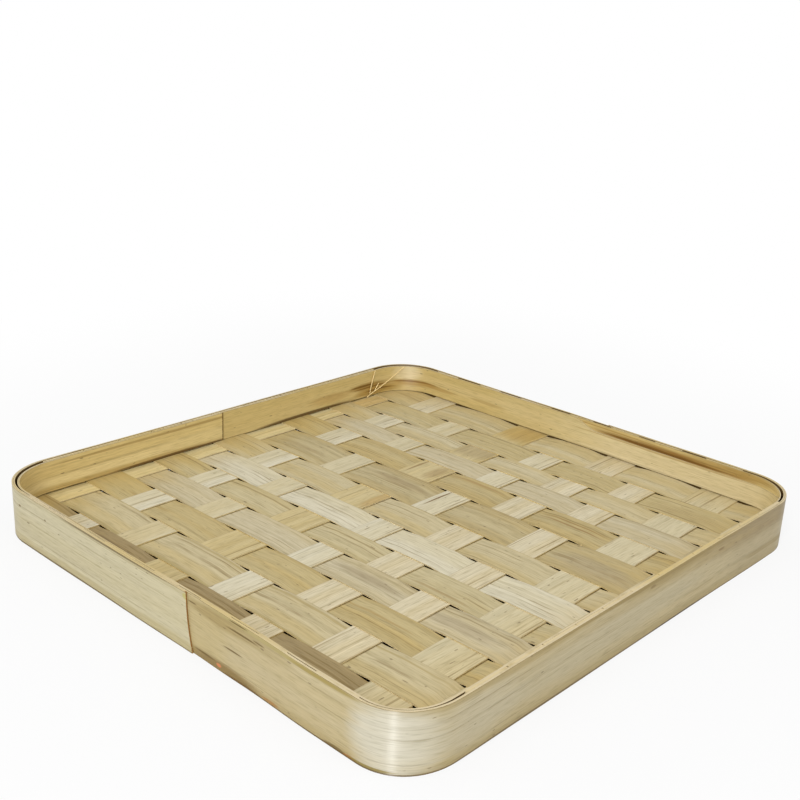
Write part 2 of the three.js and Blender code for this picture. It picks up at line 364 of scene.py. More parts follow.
# %% [markdown]
# Split bamboo is a bundle of straight fibres. Close up it shows hair-lines, wider bands where the wall
# of the culm was denser, dark grooves where the knife followed a vessel, and short dark pores. Each is
# a noise on the "grain" map, stretched along the fibres. A slow sway keeps them from looking ruled.

# %% The grain of bamboo
def grain_of(finish, seed, streaks):
    """The noises of one strip, from bands 10 mm wide to hair-lines of 0.6 mm. More streaks are shorter."""
    along, across = finish.map("grain")
    side, _ = finish.map("edge")
    sway = finish.noise(finish.vector(along * 5 + seed, across * 20, seed), 1) * 0.0008
    line = across + sway
    cuts = finish.noise(finish.vector(along * 2 + seed, line * 640, seed + 6), 0)
    dots = finish.noise(finish.vector(along * 240, across * 900, seed + 7), 0)
    patch = finish.noise(finish.vector(along * 24, across * 60 + seed, seed + 5), 3, 0.55)
    return SimpleNamespace(
        along=along, across=across, side=side, line=line, patch=patch, cuts=cuts,
        wide=finish.noise(finish.vector(along * 2.5 + seed, line * 95, seed + 1), 1),
        broad=finish.noise(finish.vector(along * 5, line * 340 + seed, seed + 2), 2),
        hairs=finish.noise(finish.vector(along * streaks + seed, line * 1150, seed + 3), 2, 0.6),
        fine=finish.noise(finish.vector(along * 130, line * 1700, seed + 4), 1),
        groove=cuts.between(0.33, 0.27) * patch.between(0.40, 0.58),
        speck=dots.between(0.80, 0.86),
    )


print("grain ready")

# %% [markdown]
# Real strips also have stains, which are ovals on the "grain" map. A wash is a broad change of tone and
# lies under the hair-lines. A mark, such as a crack or a scorched edge, lies over them and frays along
# them. A few washes and marks are painted light and shade instead, as said where they stand. And where a
# weft dives under a warp, a dark line of painted shade lies against the warp's edge, where that edge casts
# its shadow. A mark, such as a crack or a scorched edge, lies over them and frays along
# them. And where a weft dives under a warp, a line of soot has settled against the warp's edge.

# %% Washes, marks and crossings
def paint_ovals(finish, colour, grain, ovals, across, fray, soft):
    """Each oval is (along, across, long, wide) in millimetres, a tone and a strength; most are stains, and
    a few are painted light and shade. fray breaks up its edge, and soft is where that edge begins and
    where it is full."""
    for *oval, shade, strength in ovals:
        place, height, long, wide = [number / 1000 for number in oval]
        away = ((grain.along - place) / long) ** 2 + ((across - height) / wide) ** 2
        inside = (away + fray + (grain.broad - 0.5) * 0.6).between(*soft)
        colour = finish.blend(inside * strength, colour, tone(*shade))
    return colour


def paint_crossing_shade(finish, colour, grain, crossings):
    """Each crossing is the place of a warp's near edge along this weft, and how that edge slants."""
    # Painted shade: a dark line just before each warp's near edge, where that edge's shadow falls on the
    # weft.
    for place, slant in crossings:
        past = grain.along - grain.across * slant - place
        painted_shade = past.between(-0.0009, -0.0001) * past.between(0.0040, 0.0020)
        shade = painted_shade * (0.78 + grain.across * 22)
        colour = finish.blend(shade, colour, (0.30, 0.24, 0.14, 1), "MULTIPLY")
    return colour


print("stains ready")

# %% [markdown]
# One recipe makes every strip. It starts from the strip's own tone, drifts to a yellower one, and
# multiplies the hair-lines in, so that they keep the tone below. Each strip gets its own seed and
# stains, because no two are alike. The outer hoop was scraped smooth, so it is glossier, and the
# shader's anisotropy draws its highlight out along the fibres.

# %% The bamboo recipe
DEEPER = (0.61, 0.585, 0.49, 1)
PALER = (1.15, 1.163, 1.215, 1)


def bamboo(name, body, warm, seed, bands=0.35, lines=0.30, grooves=0.5, edges=0.5, edge_width=0.05,
           ends=0.0, half=0.15, dashes=0.50, streaks=9.0, washes=(), marks=(), crossings=(), sheen=0.42,
           brushed=0.0):
    """body is the strip's own tone and warm that of its yellower bands. ends paints both ends of a splint
    that reaches half a length each way a deeper gold: painted shade and warm light thrown back near the
    hoops."""
    finish = Finish(bpy.data.materials.new(name))
    grain = grain_of(finish, seed, streaks)
    broad, hairs, fine, patch = grain.broad, grain.hairs, grain.fine, grain.patch
    groove, speck = grain.groove, grain.speck
    colour = finish.blend(grain.wide.between(0.36, 0.64) * 0.5 + 0.25, tone(*body), tone(*warm))
    colour = paint_ovals(finish, colour, grain, washes, grain.across, patch - 0.5, (1.1, 0.1))
    deeper = broad.between(0.52, 0.30) * bands + hairs.between(0.48, 0.28) * lines
    deeper = deeper + fine.between(0.50, 0.25) * dashes
    paler = broad.between(0.50, 0.74) * bands + hairs.between(0.54, 0.74) * lines
    paler = paler + fine.between(0.50, 0.75) * dashes + patch.between(0.52, 0.78) * 0.30
    paler = paler + grain.cuts.between(0.70, 0.78) * lines * 1.6
    colour = finish.blend(deeper.least(1.0), colour, DEEPER, "MULTIPLY")
    colour = finish.blend(paler.least(1.0), colour, PALER, "MULTIPLY")
    # Painted shade and reflected light: the ends near the hoops turn a deeper gold.
    if ends:
        reach = grain.along.size() / half + (patch - 0.5) * 0.25 + (broad - 0.5) * 0.2
        colour = finish.blend(reach.between(0.72, 1.0) * ends, colour, tone(182, 156, 92))
    colour = finish.blend(groove * grooves, colour, tone(118, 96, 52))
    colour = finish.blend(speck * 0.7, colour, tone(110, 92, 58))
    # Painted shade: a dark line along both edges, for the shade where splints and strips meet.
    rim = (grain.side.size() + (hairs - 0.5) * edge_width * 0.8).between(1 - edge_width, 1.0)
    colour = finish.blend(rim * edges, colour, tone(132, 110, 60))
    colour = paint_ovals(finish, colour, grain, marks, grain.line, (hairs - 0.5) * 1.2, (1.0, 0.25))
    colour = paint_crossing_shade(finish, colour, grain, crossings)

    relief = hairs * 0.40 + fine * 0.15 + broad * 0.25 + patch * 0.10 - groove * 0.5 - speck * 0.3
    rough = sheen + hairs * 0.14 + groove * 0.2 + (patch - 0.5) * 0.1
    shine = {"Specular IOR Level": 0.42, "Anisotropic": brushed, "Anisotropic Rotation": 0.25, "IOR": 1.45}
    return finish.skin(colour, rough, relief, shine)


print("bamboo ready")

# %% [markdown]
# The knife leaves a rougher face along the edges, where fibre ends are crushed. It gets a plainer
# recipe on Object coordinates: a flat mottle over a slow drift between cream and gold. A sawn end is
# darker, and the "edge" map says where that is.

# %% The split edges
def cut_edge(name, body, seed, end_tone=None):
    """end_tone is for a strip whose sawn end shows."""
    finish = Finish(bpy.data.materials.new(name))
    body = tone(*body)
    place = finish.object_place()
    stretched = finish.node("ShaderNodeMapping", {}, {"Vector": place, "Scale": (110, 110, 900),
                                                      "Location": (seed, seed, seed)})
    crush = finish.noise(stretched, 3, 0.6)
    shade = tuple(c * k for c, k in zip(body, (0.80, 0.77, 0.68, 1)))
    golden = tuple(c * k for c, k in zip(body, (0.96, 0.90, 0.66, 1)))
    drift = finish.noise(finish.node("ShaderNodeMapping", {}, {"Vector": place, "Scale": (14, 14, 14)}), 1)
    colour = finish.blend(drift.between(0.45, 0.62), body, golden)
    colour = finish.blend(crush.between(0.45, 0.8), colour, shade)
    if end_tone:
        _, past = finish.map("edge")
        sawn = past.between(0.002, 0.0004) * crush.between(0.20, 0.45)
        colour = finish.blend(sawn, colour, tone(*end_tone))
    return finish.skin(colour, crush * 0.2 + 0.5, crush, {"Specular IOR Level": 0.35})


splint_edge = cut_edge("splint_edge", (206, 188, 146), 3.0)
loose_fibre = cut_edge("loose_fibre", (250, 226, 168), 4.0)
print("edges ready")

# %% [markdown]
# A handful of tones covers the whole tray. The makers don't sort their splints, so brown, golden and
# nearly white ones lie side by side. Each tone is that of the body and that of its yellower bands.

# %% The tones of the splints
TONES = {
    "brown": ((156, 137, 96), (148, 125, 76)),
    "gold": ((182, 167, 123), (179, 155, 95)),
    "honey": ((196, 181, 138), (187, 165, 106)),
    "tan": ((181, 168, 129), (177, 155, 101)),
    "olive": ((186, 174, 137), (182, 162, 108)),
    "straw": ((190, 178, 143), (185, 165, 112)),
    "wheat": ((193, 182, 149), (188, 169, 119)),
    "grey": ((191, 181, 153), (186, 169, 125)),
    "butter": ((208, 196, 154), (200, 178, 118)),
    "cream": ((199, 189, 157), (193, 176, 130)),
    "pale": ((204, 194, 166), (199, 183, 142)),
    "chalk": ((205, 198, 175), (199, 187, 151)),
}
print(len(TONES), "tones")

# %% [markdown]
# The wefts run along Y, edge to edge, and the warps along X, spaced apart. Each splint is kept as the
# lines of its two edges: where the edge crosses the middle of the floor, and how far it drifts for each
# metre along. The widths share out the floor in the real proportions. The outermost ones are tucked a
# little under the hoops.

# %% Where the splints lie
WEFT_WIDTHS = [24.6, 24.6, 22.7, 22, 20.1, 22.1, 23.5, 30, 23.8, 19.7, 19.5, 22.5, 24.9]
WEFT_GAP = 0.0006
WEFT_LINE_DRIFTS = [0, -0.012, -0.015, -0.016, -0.02, -0.015, -0.015, -0.008, -0.012, -0.014,
                    -0.024, -0.026, -0.027, 0]
WEFT_TUCK = 0.0015
WARP_WIDTHS = [17.3, 23.5, 18.1, 20.3, 17.3, 24.2, 17.3, 18.5, 12]
WARP_GAPS = [9.9, 16.8, 14.8, 14.7, 14.8, 18.1, 17.2, 18.1]
WARP_DRIFTS = [0, 0.029, 0.024, 0.002, -0.007, -0.007, -0.01, 0.007, 0]
WARP_TUCK = 0.0012

floor_x = wall_x - SPLINT_THICKNESS / 2 - PLAY - INNER_THICKNESS
floor_y = wall_y - SPLINT_THICKNESS / 2 - PLAY - INNER_THICKNESS


def lay_splints(start, widths, gaps, low_drifts, high_drifts):
    splints, edge = [], start
    for width, gap, low_drift, high_drift in zip(widths, gaps + [0], low_drifts, high_drifts):
        splints.append({"low": (edge, low_drift), "high": (edge + width, high_drift)})
        edge += width + gap
    return splints


weft_reach = floor_x - 2 * PLAY
weft_gaps = [WEFT_GAP] * (len(WEFT_WIDTHS) - 1)
weft_scale = (2 * weft_reach - sum(weft_gaps)) / sum(WEFT_WIDTHS)
weft_widths = [width * weft_scale for width in WEFT_WIDTHS]
wefts = lay_splints(-weft_reach, weft_widths, weft_gaps, WEFT_LINE_DRIFTS, WEFT_LINE_DRIFTS[1:])
warp_reach = floor_y - PLAY
warp_scale = 2 * warp_reach / (sum(WARP_WIDTHS) + sum(WARP_GAPS))
warp_widths = [width * warp_scale for width in WARP_WIDTHS]
warp_gaps = [gap * warp_scale for gap in WARP_GAPS]
warps = lay_splints(-warp_reach, warp_widths, warp_gaps, WARP_DRIFTS, WARP_DRIFTS)
for splints, tuck in ((wefts, WEFT_TUCK), (warps, WARP_TUCK)):
    first, last = splints[0], splints[-1]
    first["low"] = (first["low"][0] - tuck, first["low"][1])
    last["high"] = (last["high"][0] + tuck, last["high"][1])
for splint in (*wefts, *warps):
    splint["middle"] = (splint["low"][0] + splint["high"][0]) / 2


def edge_at(edge, place):
    at, drift = edge
    return at + drift * place


print(len(wefts), "wefts and", len(warps), "warps")

# %% [markdown]
# A splint's path is seen from its edge: a list of distances and heights. At the wall it turns up in a
# tight bend, except next to the corners, where a flat end is trimmed to the outline. The path is walked
# at an even pace, so that the grain isn't stretched in the bend.

# %% The path of a splint
BEND_RADIUS = 0.0009
STRAIGHT_X = wall_x - max(side["radius"] for side in SIDES)
STRAIGHT_Y = wall_y - max(side["radius"] for side in SIDES)
CORNER_REACH = 0.004


def turns_up(splint, wall, straight):
    places = [abs(edge_at(splint[edge], end)) for edge in ("low", "high") for end in (wall, -wall)]
    return max(places) < straight + CORNER_REACH


def upturn(wall, level, top):
    """From the floor outwards, round the bend and up the wall."""
    bend = [
        (wall - BEND_RADIUS + BEND_RADIUS * math.sin(a), level + BEND_RADIUS - BEND_RADIUS * math.cos(a))
        for a in [math.pi / 2 * k / 6 for k in range(7)]
    ]
    rise = [(wall, mix(bend[-1][1], top, k / 4)) for k in range(1, 5)]
    return bend + rise


def walk(path):
    """A function from 0 to 1 to the point that far along the path, and the path's length."""
    lengths = [0.0]
    for (a, b), (c, d) in zip(path, path[1:]):
        lengths.append(lengths[-1] + math.hypot(c - a, d - b))

    def at(share):
        distance = share * lengths[-1]
        k = min(max(bisect.bisect_right(lengths, distance) - 1, 0), len(path) - 2)
        part = (distance - lengths[k]) / (lengths[k + 1] - lengths[k])
        return mix(path[k][0], path[k + 1][0], part), mix(path[k][1], path[k + 1][1], part)

    return at, lengths[-1]


def outline_reach(place, runs_along_x):
    """How far a flat end may run before it meets the outer hoop, at this place across the splint."""
    wall, other = (wall_x, wall_y) if runs_along_x else (wall_y, wall_x)
    room = SPLINT_THICKNESS / 2
    radius = max(side["radius"] for side in SIDES) + room
    into_corner = max(abs(place) - (other + room - radius), 0.0)
    return wall + room - radius + math.sqrt(max(radius ** 2 - into_corner ** 2, 0.0))


print("straight part of the wall reaches", round(STRAIGHT_X, 4), round(STRAIGHT_Y, 4))

# %% [markdown]
# Wefts and warps are laid in the same way, by one function. Their edges waver, and two wefts draw apart
# a little, which opens the small dark slits of the floor. A weft also bulges across its width, because
# a split of bamboo is never dead flat, and its upturned ends were left thicker.

# %% Lay one splint
SPLIT_THICKNESS = 0.0006
SPLINT_ROUNDING = 0.00015
SPLINT_STEPS = 260
SPLINT_ROWS = 8
END_THICKENS_AT = 0.017
END_THICKENS_OVER = 0.008
WEFT = {"wall": wall_y, "straight": STRAIGHT_X, "along_x": False, "paces": 300, "slit": 0.00004,
        "bulge": 0.00008, "ends": 2, "wave": 0.03, "wavers": ((0, -0.00010), (40, 0.00010))}
WARP = {"wall": wall_x, "straight": STRAIGHT_Y, "along_x": True, "paces": 320, "slit": 0.0,
        "bulge": 0.0, "ends": 1, "wave": 0.04, "wavers": ((80, 0.00015), (120, 0.00015))}


def lay(name, splint, number, kind, height, fibres=()):
    """The piece, its path and the path's length. The ends are so many times as thick as the rest."""
    wall, along_x, ends = kind["wall"], kind["along_x"], kind["ends"]
    inner = wall - BEND_RADIUS
    upturned = turns_up(splint, wall, kind["straight"])
    paces = [mix(-inner, inner, k / kind["paces"]) for k in range(kind["paces"] + 1)]
    run = [(place, height(place)) for place in paces]
    if upturned:
        start = [(-place, z) for place, z in reversed(upturn(wall, height(-wall), MAT_TOP))]
        run = start[:-1] + run + upturn(wall, height(wall), MAT_TOP)[1:]
    at, length = walk(run)

    def place_of(s, t):
        share = (t + 1) / 2
        if upturned:
            place, z = at(s)
        else:
            place = mix(-1, 1, s) * outline_reach(mix(splint["low"][0], splint["high"][0], share), along_x)
            z = height(place)
        low, high = [size * waver(number + seed, place, kind["wave"]) for seed, size in kind["wavers"]]
        low += edge_at(splint["low"], place) - kind["slit"]
        high += edge_at(splint["high"], place) + kind["slit"]
        across = mix(low, high, share)
        if abs(place) < inner and z > FLOOR_LEVEL:
            z -= kind["bulge"] * t * t
        left = mix(1 / ends, 1.0, smooth_step((z - END_THICKENS_AT) / END_THICKENS_OVER))
        point = Vector((place, across, z) if along_x else (across, place, z))
        return point, (mix(-0.5, 0.5, s) * length, across - splint["middle"]), left

    thickness = ends * SPLIT_THICKNESS
    piece = ribbon(name, SPLINT_STEPS, SPLINT_ROWS, place_of, thickness, SPLINT_ROUNDING, fibres)
    return piece, at, length


print("a splint is", SPLIT_THICKNESS, "m thick on the floor")

# %% [markdown]
# Seen from its edge, a weft is level where it crosses a warp and swings to the other side in the gap
# between two warps. Where it dives under a warp is noted too, for the line of painted shade in its finish.

# %% The swing of a weft
RAMP_CLEARANCE = 0.001
WEFT_SWING = 0.00052
DIVE_PACES = 4000


def weft_height(splint, number):
    """The height of this weft as a function of the distance along it."""
    knots = []
    for index, warp in enumerate(warps):
        level = WEFT_SWING if (index + number) % 2 else -WEFT_SWING
        knots.append((edge_at(warp["low"], splint["middle"]) - RAMP_CLEARANCE, level))
        knots.append((edge_at(warp["high"], splint["middle"]) + RAMP_CLEARANCE, level))

    def height(place):
        if place <= knots[0][0]:
            return FLOOR_LEVEL + knots[0][1]
        for (start, low), (end, high) in zip(knots, knots[1:]):
            if place <= end:
                return FLOOR_LEVEL + mix(low, high, smooth_step((place - start) / (end - start)))
        return FLOOR_LEVEL + knots[-1][1]

    return height


def dives(splint, number, at, length):
    """Where this weft goes under a warp: the place along its grain and the slant of the warp's edge."""
    if not turns_up(splint, wall_y, STRAIGHT_X):
        return []
    paces = [at(k / DIVE_PACES)[0] for k in range(DIVE_PACES + 1)]
    crossings = []
    for warp in warps[number % 2::2]:
        share = bisect.bisect_left(paces, edge_at(warp["low"], splint["middle"])) / DIVE_PACES
        crossings.append(((share - 0.5) * length, warp["low"][1]))
    return crossings


print("a weft swings", WEFT_SWING, "m each way")

# %% [markdown]
# The first weft is brown with dark streaks, others have grey patches, and the wide ones have hair
# cracks. Three fibres have split off the last weft but one and stand up in the back corner.

# %% The wefts' tones and stains
LOOSE_FIBRES = [
    [(115.5, 145.6, 10.6), (119.6, 146.1, 12.1), (128.5, 146.0, 15.0), (137.5, 144.2, 20.2),
     (145.4, 139.4, 28.4)],
    [(118.6, 146.1, 12.8), (121.0, 146.1, 22.1), (122.6, 146.1, 26.0), (123.2, 146.1, 28.4)],
    [(123.4, 146.1, 13.4), (127.2, 146.1, 18.5)],
]
FRAYED_WEFT = 12
WEFT_TONES = ["brown", "straw", "gold", "grey", "olive", "chalk", "straw", "tan", "gold", "grey", "wheat",
              "olive", "wheat"]
WEFT_WASHES = {
    4: [(-38, 1.5, 26, 4, (156, 140, 106), 0.7), (-98, 1, 24, 5, (166, 150, 116), 0.6)],
    8: [(30, 3, 26, 5, (154, 134, 94), 0.6), (-108, -2, 30, 10, (164, 148, 112), 0.7),
        (110, -4, 24, 3, (160, 140, 96), 0.5)],
    12: [(-107, 0, 30, 10, (170, 150, 102), 0.6)],
    13: [(125, 0, 24, 6, (168, 142, 84), 0.5)],
}
WEFT_MARKS = {
    1: [(20, -2, 70, 1.2, (104, 84, 50), 0.8), (-80, 3.5, 50, 1, (104, 84, 50), 0.8),
        (90, 6, 40, 1, (112, 90, 54), 0.7)],
    2: [(0, -11.2, 160, 1.2, (164, 146, 92), 0.6), (0, 10.8, 160, 1, (160, 140, 86), 0.6)],
    3: [(105, -2, 22, 1.8, (158, 134, 80), 0.6), (-60, 4, 30, 1.2, (160, 134, 78), 0.6)],
    5: [(-70, -4, 22, 1.2, (156, 132, 84), 0.6)],
    9: [(-70, 3, 24, 0.8, (142, 112, 60), 0.8), (-70, 6.6, 24, 0.7, (142, 112, 60), 0.8),
        (0, 8, 24, 1.4, (160, 132, 78), 0.7)],
    10: [(35, 3.5, 12, 1, (166, 146, 108), 0.6)],
}
print(len(LOOSE_FIBRES), "loose fibres")

# %% [markdown]
# Each weft rides on the tray's one body and takes the place of its CAD node, so nothing of the plain
# solid shows through.

# %% Make the wefts
def dress(piece, node, slot, *finishes):
    """Gives a piece its finishes, in the order of its faces' material numbers, and its CAD node."""
    for finish in finishes:
        piece.data.materials.append(finish)
    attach(piece, "root")
    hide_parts(node)


for number, (splint, shade) in enumerate(zip(wefts, WEFT_TONES), start=1):
    fibres, fibre = (LOOSE_FIBRES, [loose_fibre]) if number == FRAYED_WEFT else ((), [])
    height = weft_height(splint, number)
    piece, at, length = lay(f"split_weft_{number:02d}", splint, number, WEFT, height, fibres)
    face = bamboo(f"weft_bamboo_{number:02d}", *TONES[shade], 10.0 + 3.7 * number, ends=0.5,
                  washes=WEFT_WASHES.get(number, ()), marks=WEFT_MARKS.get(number, ()),
                  crossings=dives(splint, number, at, length))
    dress(piece, f"weft_{number:02d}", "weft_splint", face, splint_edge, *fibre)
print(len(wefts), "wefts made")

# %% [markdown]
# Warps were split narrower and stiffer, and stay almost straight. One only gives way slightly where a
# weft presses on it, down or up, so it swings a little at each weft.

# %% The swing of a warp
WARP_SWING = 0.00012


def warp_height(splint, number):
    """The height of this warp as a function of the distance along it."""
    middle = splint["middle"]
    centres = [(edge_at(w["low"], middle) + edge_at(w["high"], middle)) / 2 for w in wefts]

    def height(place):
        k = min(range(len(centres)), key=lambda i: abs(centres[i] - place))
        under_weft = (number + k) % 2
        half = (edge_at(wefts[k]["high"], middle) - edge_at(wefts[k]["low"], middle)) / 2
        swing = math.cos(min(abs(place - centres[k]) / half, 1) * math.pi / 2)
        return FLOOR_LEVEL + (-1 if under_weft else 1) * WARP_SWING * swing

    return height


print("a warp swings", WARP_SWING, "m")

# %% [markdown]
# Most warps are paler than the wefts, and their hair-lines vary in strength. The sixth has a few brown
# patches, and the last lies in the shade of the hoop.

# %% Make the warps
WARP_TONES = ["cream", "cream", "pale", "pale", "chalk", "honey", "cream", "chalk", "butter"]
WARP_LINES = [0.3, 0.2, 0.55, 0.6, 0.35, 0.3, 0.3, 0.25, 0.3]
WARP_WASHES = {
    6: [(98, -1, 13, 18, (166, 148, 106), 0.8), (143, -1, 16, 18, (174, 144, 80), 0.8),
        (55, -6, 14, 5.5, (160, 136, 88), 0.7), (2, -10, 16, 4, (180, 150, 90), 0.7)],
    9: [(115, 0, 34, 10, (190, 158, 96), 0.6)],
}
WARP_MARKS = {
    5: [(29, 5.2, 15, 0.7, (112, 84, 38), 0.95)],
    6: [(55, 9, 14, 0.9, (132, 104, 52), 0.8)],
}
for number, (splint, shade, lines) in enumerate(zip(warps, WARP_TONES, WARP_LINES), start=1):
    piece, _, _ = lay(f"split_warp_{number}", splint, number, WARP, warp_height(splint, number))
    face = bamboo(f"warp_bamboo_{number}", *TONES[shade], 90.0 + 5.3 * number, ends=0.3, half=0.16,
                  lines=lines, bands=0.25, washes=WARP_WASHES.get(number, ()),
                  marks=WARP_MARKS.get(number, ()))
    dress(piece, f"warp_{number}", "warp_splint", face, splint_edge)
print(len(warps), "warps made")

# %% [markdown]
# Each hoop is two strips. A strip starts at the end that shows, lies over the tail of the other, then
# settles against the mat, and its own tail ends hidden under the other. The laps were shaved, so the
# rim stays nearly as thin there as elsewhere.
#
# A layer is how far a strip's two faces stand from the middle of the mat's upright ends: single where
# it lies alone, over where it covers a tail, and tail where it is covered. The inner hoop stands off a
# little in the left and right corners.

# %% The layers of the hoops
OUTER = {"way": 1, "lap": 0.200, "single": (0.00045, 0.00150), "over": (0.00118, 0.00198),
         "tail": (0.00038, 0.00110), "slack": 0.0}
INNER = {"way": -1, "lap": 0.284, "single": (0.00042, 0.00140), "over": (0.00090, 0.00140),
         "tail": (0.00036, 0.00082), "slack": 0.0005}
outer_end_a = -0.0178
outer_end_b = SIDES[2]["middle"] + 0.0225
inner_end_a = SIDES[1]["middle"] - 0.009
inner_end_b = SIDES[3]["middle"] - 0.010

SETTLE_LENGTH = 0.060  # a strip settles from its lap over this length
SETTLE_EARLY = 0.045  # and starts this far before the tail below it ends
SHAVE_LENGTH = 0.028  # a tail is shaved thin over this length
SHAVE_EARLY = 0.030
LEAST_PLAY = 0.00008  # between a tail and the strip over it
CORNER_SLACK_REACH = 0.030
SIDE_SLACK = 0.00032
SIDE_SLACK_REACH = 0.120
loose_corners = [(SIDES[k]["corner_start"] + SIDES[k]["corner_end"]) / 2 for k in (0, 2)]


def round_to(place, other):
    """The shorter way round the loop from one place to another."""
    return abs((place - other + loop_length / 2) % loop_length - loop_length / 2)


def standing_off(place, hoop):
    """How much looser the hoop lies at this place than a tight one."""
    corner = max(1 - abs(place % loop_length - middle) / CORNER_SLACK_REACH for middle in loose_corners)
    beside = min(round_to(place, SIDES[k]["middle"]) for k in (1, 3))
    side = 1 + (SIDE_SLACK_REACH - beside) / CORNER_SLACK_REACH
    return hoop["slack"] * smooth_step(corner) + SIDE_SLACK * smooth_step(side)


print("laps", OUTER["lap"], INNER["lap"])

# %% [markdown]
# A strip is a ribbon again: its length follows the loop and its width is the hoop's height. Its edges were
# cut by hand, so they wander, and the outer hoop's visible end was sawn at a slant. The side of a strip
# that faces the channel between the hoops gets a dark finish of its own, painted shade for the shadow in
# that channel.

# %% Shape one strip of a hoop
STEP_LENGTH = 0.0025
STRIP_ROWS = 10
STRIP_ROUNDING = 0.00025
SLANT_LENGTH = 0.012
BOTTOM_WAVER = 0.00018
TOP_WAVER = 0.00015


def hoop_strip(name, start, next_end, hoop, bottom, top_at, seed, slant=0.0):
    """slant is how far the visible end leans over the strip's height."""
    run = (hoop["way"] * (next_end - start)) % loop_length
    length = run + hoop["lap"]
    thickest = max(far - near for near, far in (hoop["single"], hoop["over"], hoop["tail"]))

    def upper(past):
        """The two faces of a strip that has just started over the other's tail and is settling inwards."""
        over = 1 - smooth_step((past - hoop["lap"] + SETTLE_EARLY) / SETTLE_LENGTH)
        return [mix(single, above, over) for single, above in zip(hoop["single"], hoop["over"])]

    def faces(past, place):
        """How far the strip's two faces stand from the middle of the mat's upright ends."""
        near, far = upper(past)
        tail = smooth_step((past - run + SHAVE_EARLY) / SHAVE_LENGTH)
        near, far = mix(near, hoop["tail"][0], tail), mix(far, hoop["tail"][1], tail)
        if past > run:
            far = min(far, upper(past - run)[0] - LEAST_PLAY)
        slack = standing_off(place, hoop)
        return near + slack, far + slack

    def place_of(s, t):
        past = s * length
        share = (t + 1) / 2
        if past < SLANT_LENGTH:
            past -= slant * (1 - share) ** 2 * (1 - past / SLANT_LENGTH)
        place = start + hoop["way"] * past
        near, far = faces(past, place)
        low = bottom + BOTTOM_WAVER * (1 + waver(seed, place, 0.05))
        high = top_at(place) - TOP_WAVER * (1 + waver(seed + 5, place, 0.06))
        z = mix(low, high, share)
        x, y = loop_point(place, hoop["way"] * (near + far) / 2)
        return Vector((x, y, z)), (place, z), (far - near) / thickest

    strip = ribbon(name, int(length / STEP_LENGTH), STRIP_ROWS, place_of, thickest, STRIP_ROUNDING)
    strip.modifiers["thickness"].material_offset = 2
    return strip


print("a strip has a vertex every", STEP_LENGTH, "m")

# %% [markdown]
# The outer strips reach the full height. The inner ones stop a little lower, and strip b of the inner
# hoop was split narrower towards the right corner, so that strip a shows above it.

# %% The top edges of the strips
INNER_A_DROP = 0.0005
INNER_B_DROP = 0.0018
DIP = 0.0041
dip_start = SIDES[2]["middle"] - 0.002
dip_end = SIDES[2]["corner_start"] + 0.010


def even_top(drop):
    return lambda place: HOOP_HEIGHT - drop


def dipped_top(place):
    dip = smooth_step((place - dip_start) / 0.018)
    rise = smooth_step((place - dip_end) / 0.032)
    return HOOP_HEIGHT - mix(INNER_A_DROP, INNER_B_DROP, dip) - DIP * dip * (1 - rise)


print("strip b is lowest at", round(min(dipped_top(dip_start + k / 1000) for k in range(150)), 4), "m")

# %% [markdown]
# The outer strips have cracks below the rim right of the visible lap, a darker bottom edge, two knots near
# the left corner, and a pale front corner, which is painted highlight. Here along counts from a place on
# the loop, as the strip's "grain" map does, and across is a height.

# %% Stains and painted highlight of the outer hoop
_, back_left, back_right, front_right = [side["middle"] for side in SIDES]
front_bend = SIDES[3]["corner_end"] - 0.0145
# The third tone darkens the outer strips along their bottom edge.
DARK, OLIVE, BOTTOM_EDGE_DARK = (112, 90, 42), (172, 156, 98), (104, 84, 42)


def from_place(start, *ovals):
    """Ovals counted from one place, counted from the start of the loop instead."""
    return [(1000 * start + along, *rest) for along, *rest in ovals]


OUTER_A_WASHES = [
    (0, 0, 9000, 6, (186, 172, 126), 0.7),
    (0, 30, 9000, 3.6, (188, 175, 134), 0.6),
    (85, 8, 60, 3.2, (188, 177, 142), 0.55),
]
OUTER_A_MARKS = [
    (60, 0.7, 120, 1, BOTTOM_EDGE_DARK, 0.9),
    (38, 28.6, 56, 0.7, (112, 94, 52), 0.85),
    (122, 21.3, 1.2, 0.7, DARK, 0.9),
    (97.6, 21.7, 1, 0.6, DARK, 0.8),
    (-17.5, 27, 2.2, 2, (186, 176, 100), 0.8),
]
OUTER_B_WASHES = [
    (0, 0, 9000, 5, (170, 151, 102), 0.65),
    # Painted highlight: the two pale washes at the front bend make the front corner paler and greyer; the
    # gloss lamps add the rest of its highlight.
    *from_place(front_bend,
        (0, 14, 22.5, 20, (206, 200, 180), 0.95), (-36, 16, 36, 14, (194, 184, 156), 0.6)),
    *from_place(front_right,
        (30, 15, 100, 10, (186, 176, 146), 0.5), (-120, 15, 50, 30, (172, 156, 118), 0.6),
        (-105, 27.5, 90, 12, (146, 123, 76), 0.7), (-30, 28.5, 60, 6, (160, 138, 84), 0.8),
        (90, 28, 70, 3.6, (168, 146, 92), 0.6), (-30, 23.2, 110, 3.6, (172, 150, 94), 0.35)),
    *from_place(loop_length,
        (-30, 15, 20, 30, (188, 170, 120), 0.65), (-42, 24.8, 30, 4.6, (162, 141, 88), 0.85),
        (-70, 24.8, 22, 3.6, (172, 154, 108), 0.7), (-98, 28.4, 32, 1.8, (164, 148, 92), 0.6),
        (-45, 1.8, 30, 4.2, (136, 112, 62), 0.9)),
]
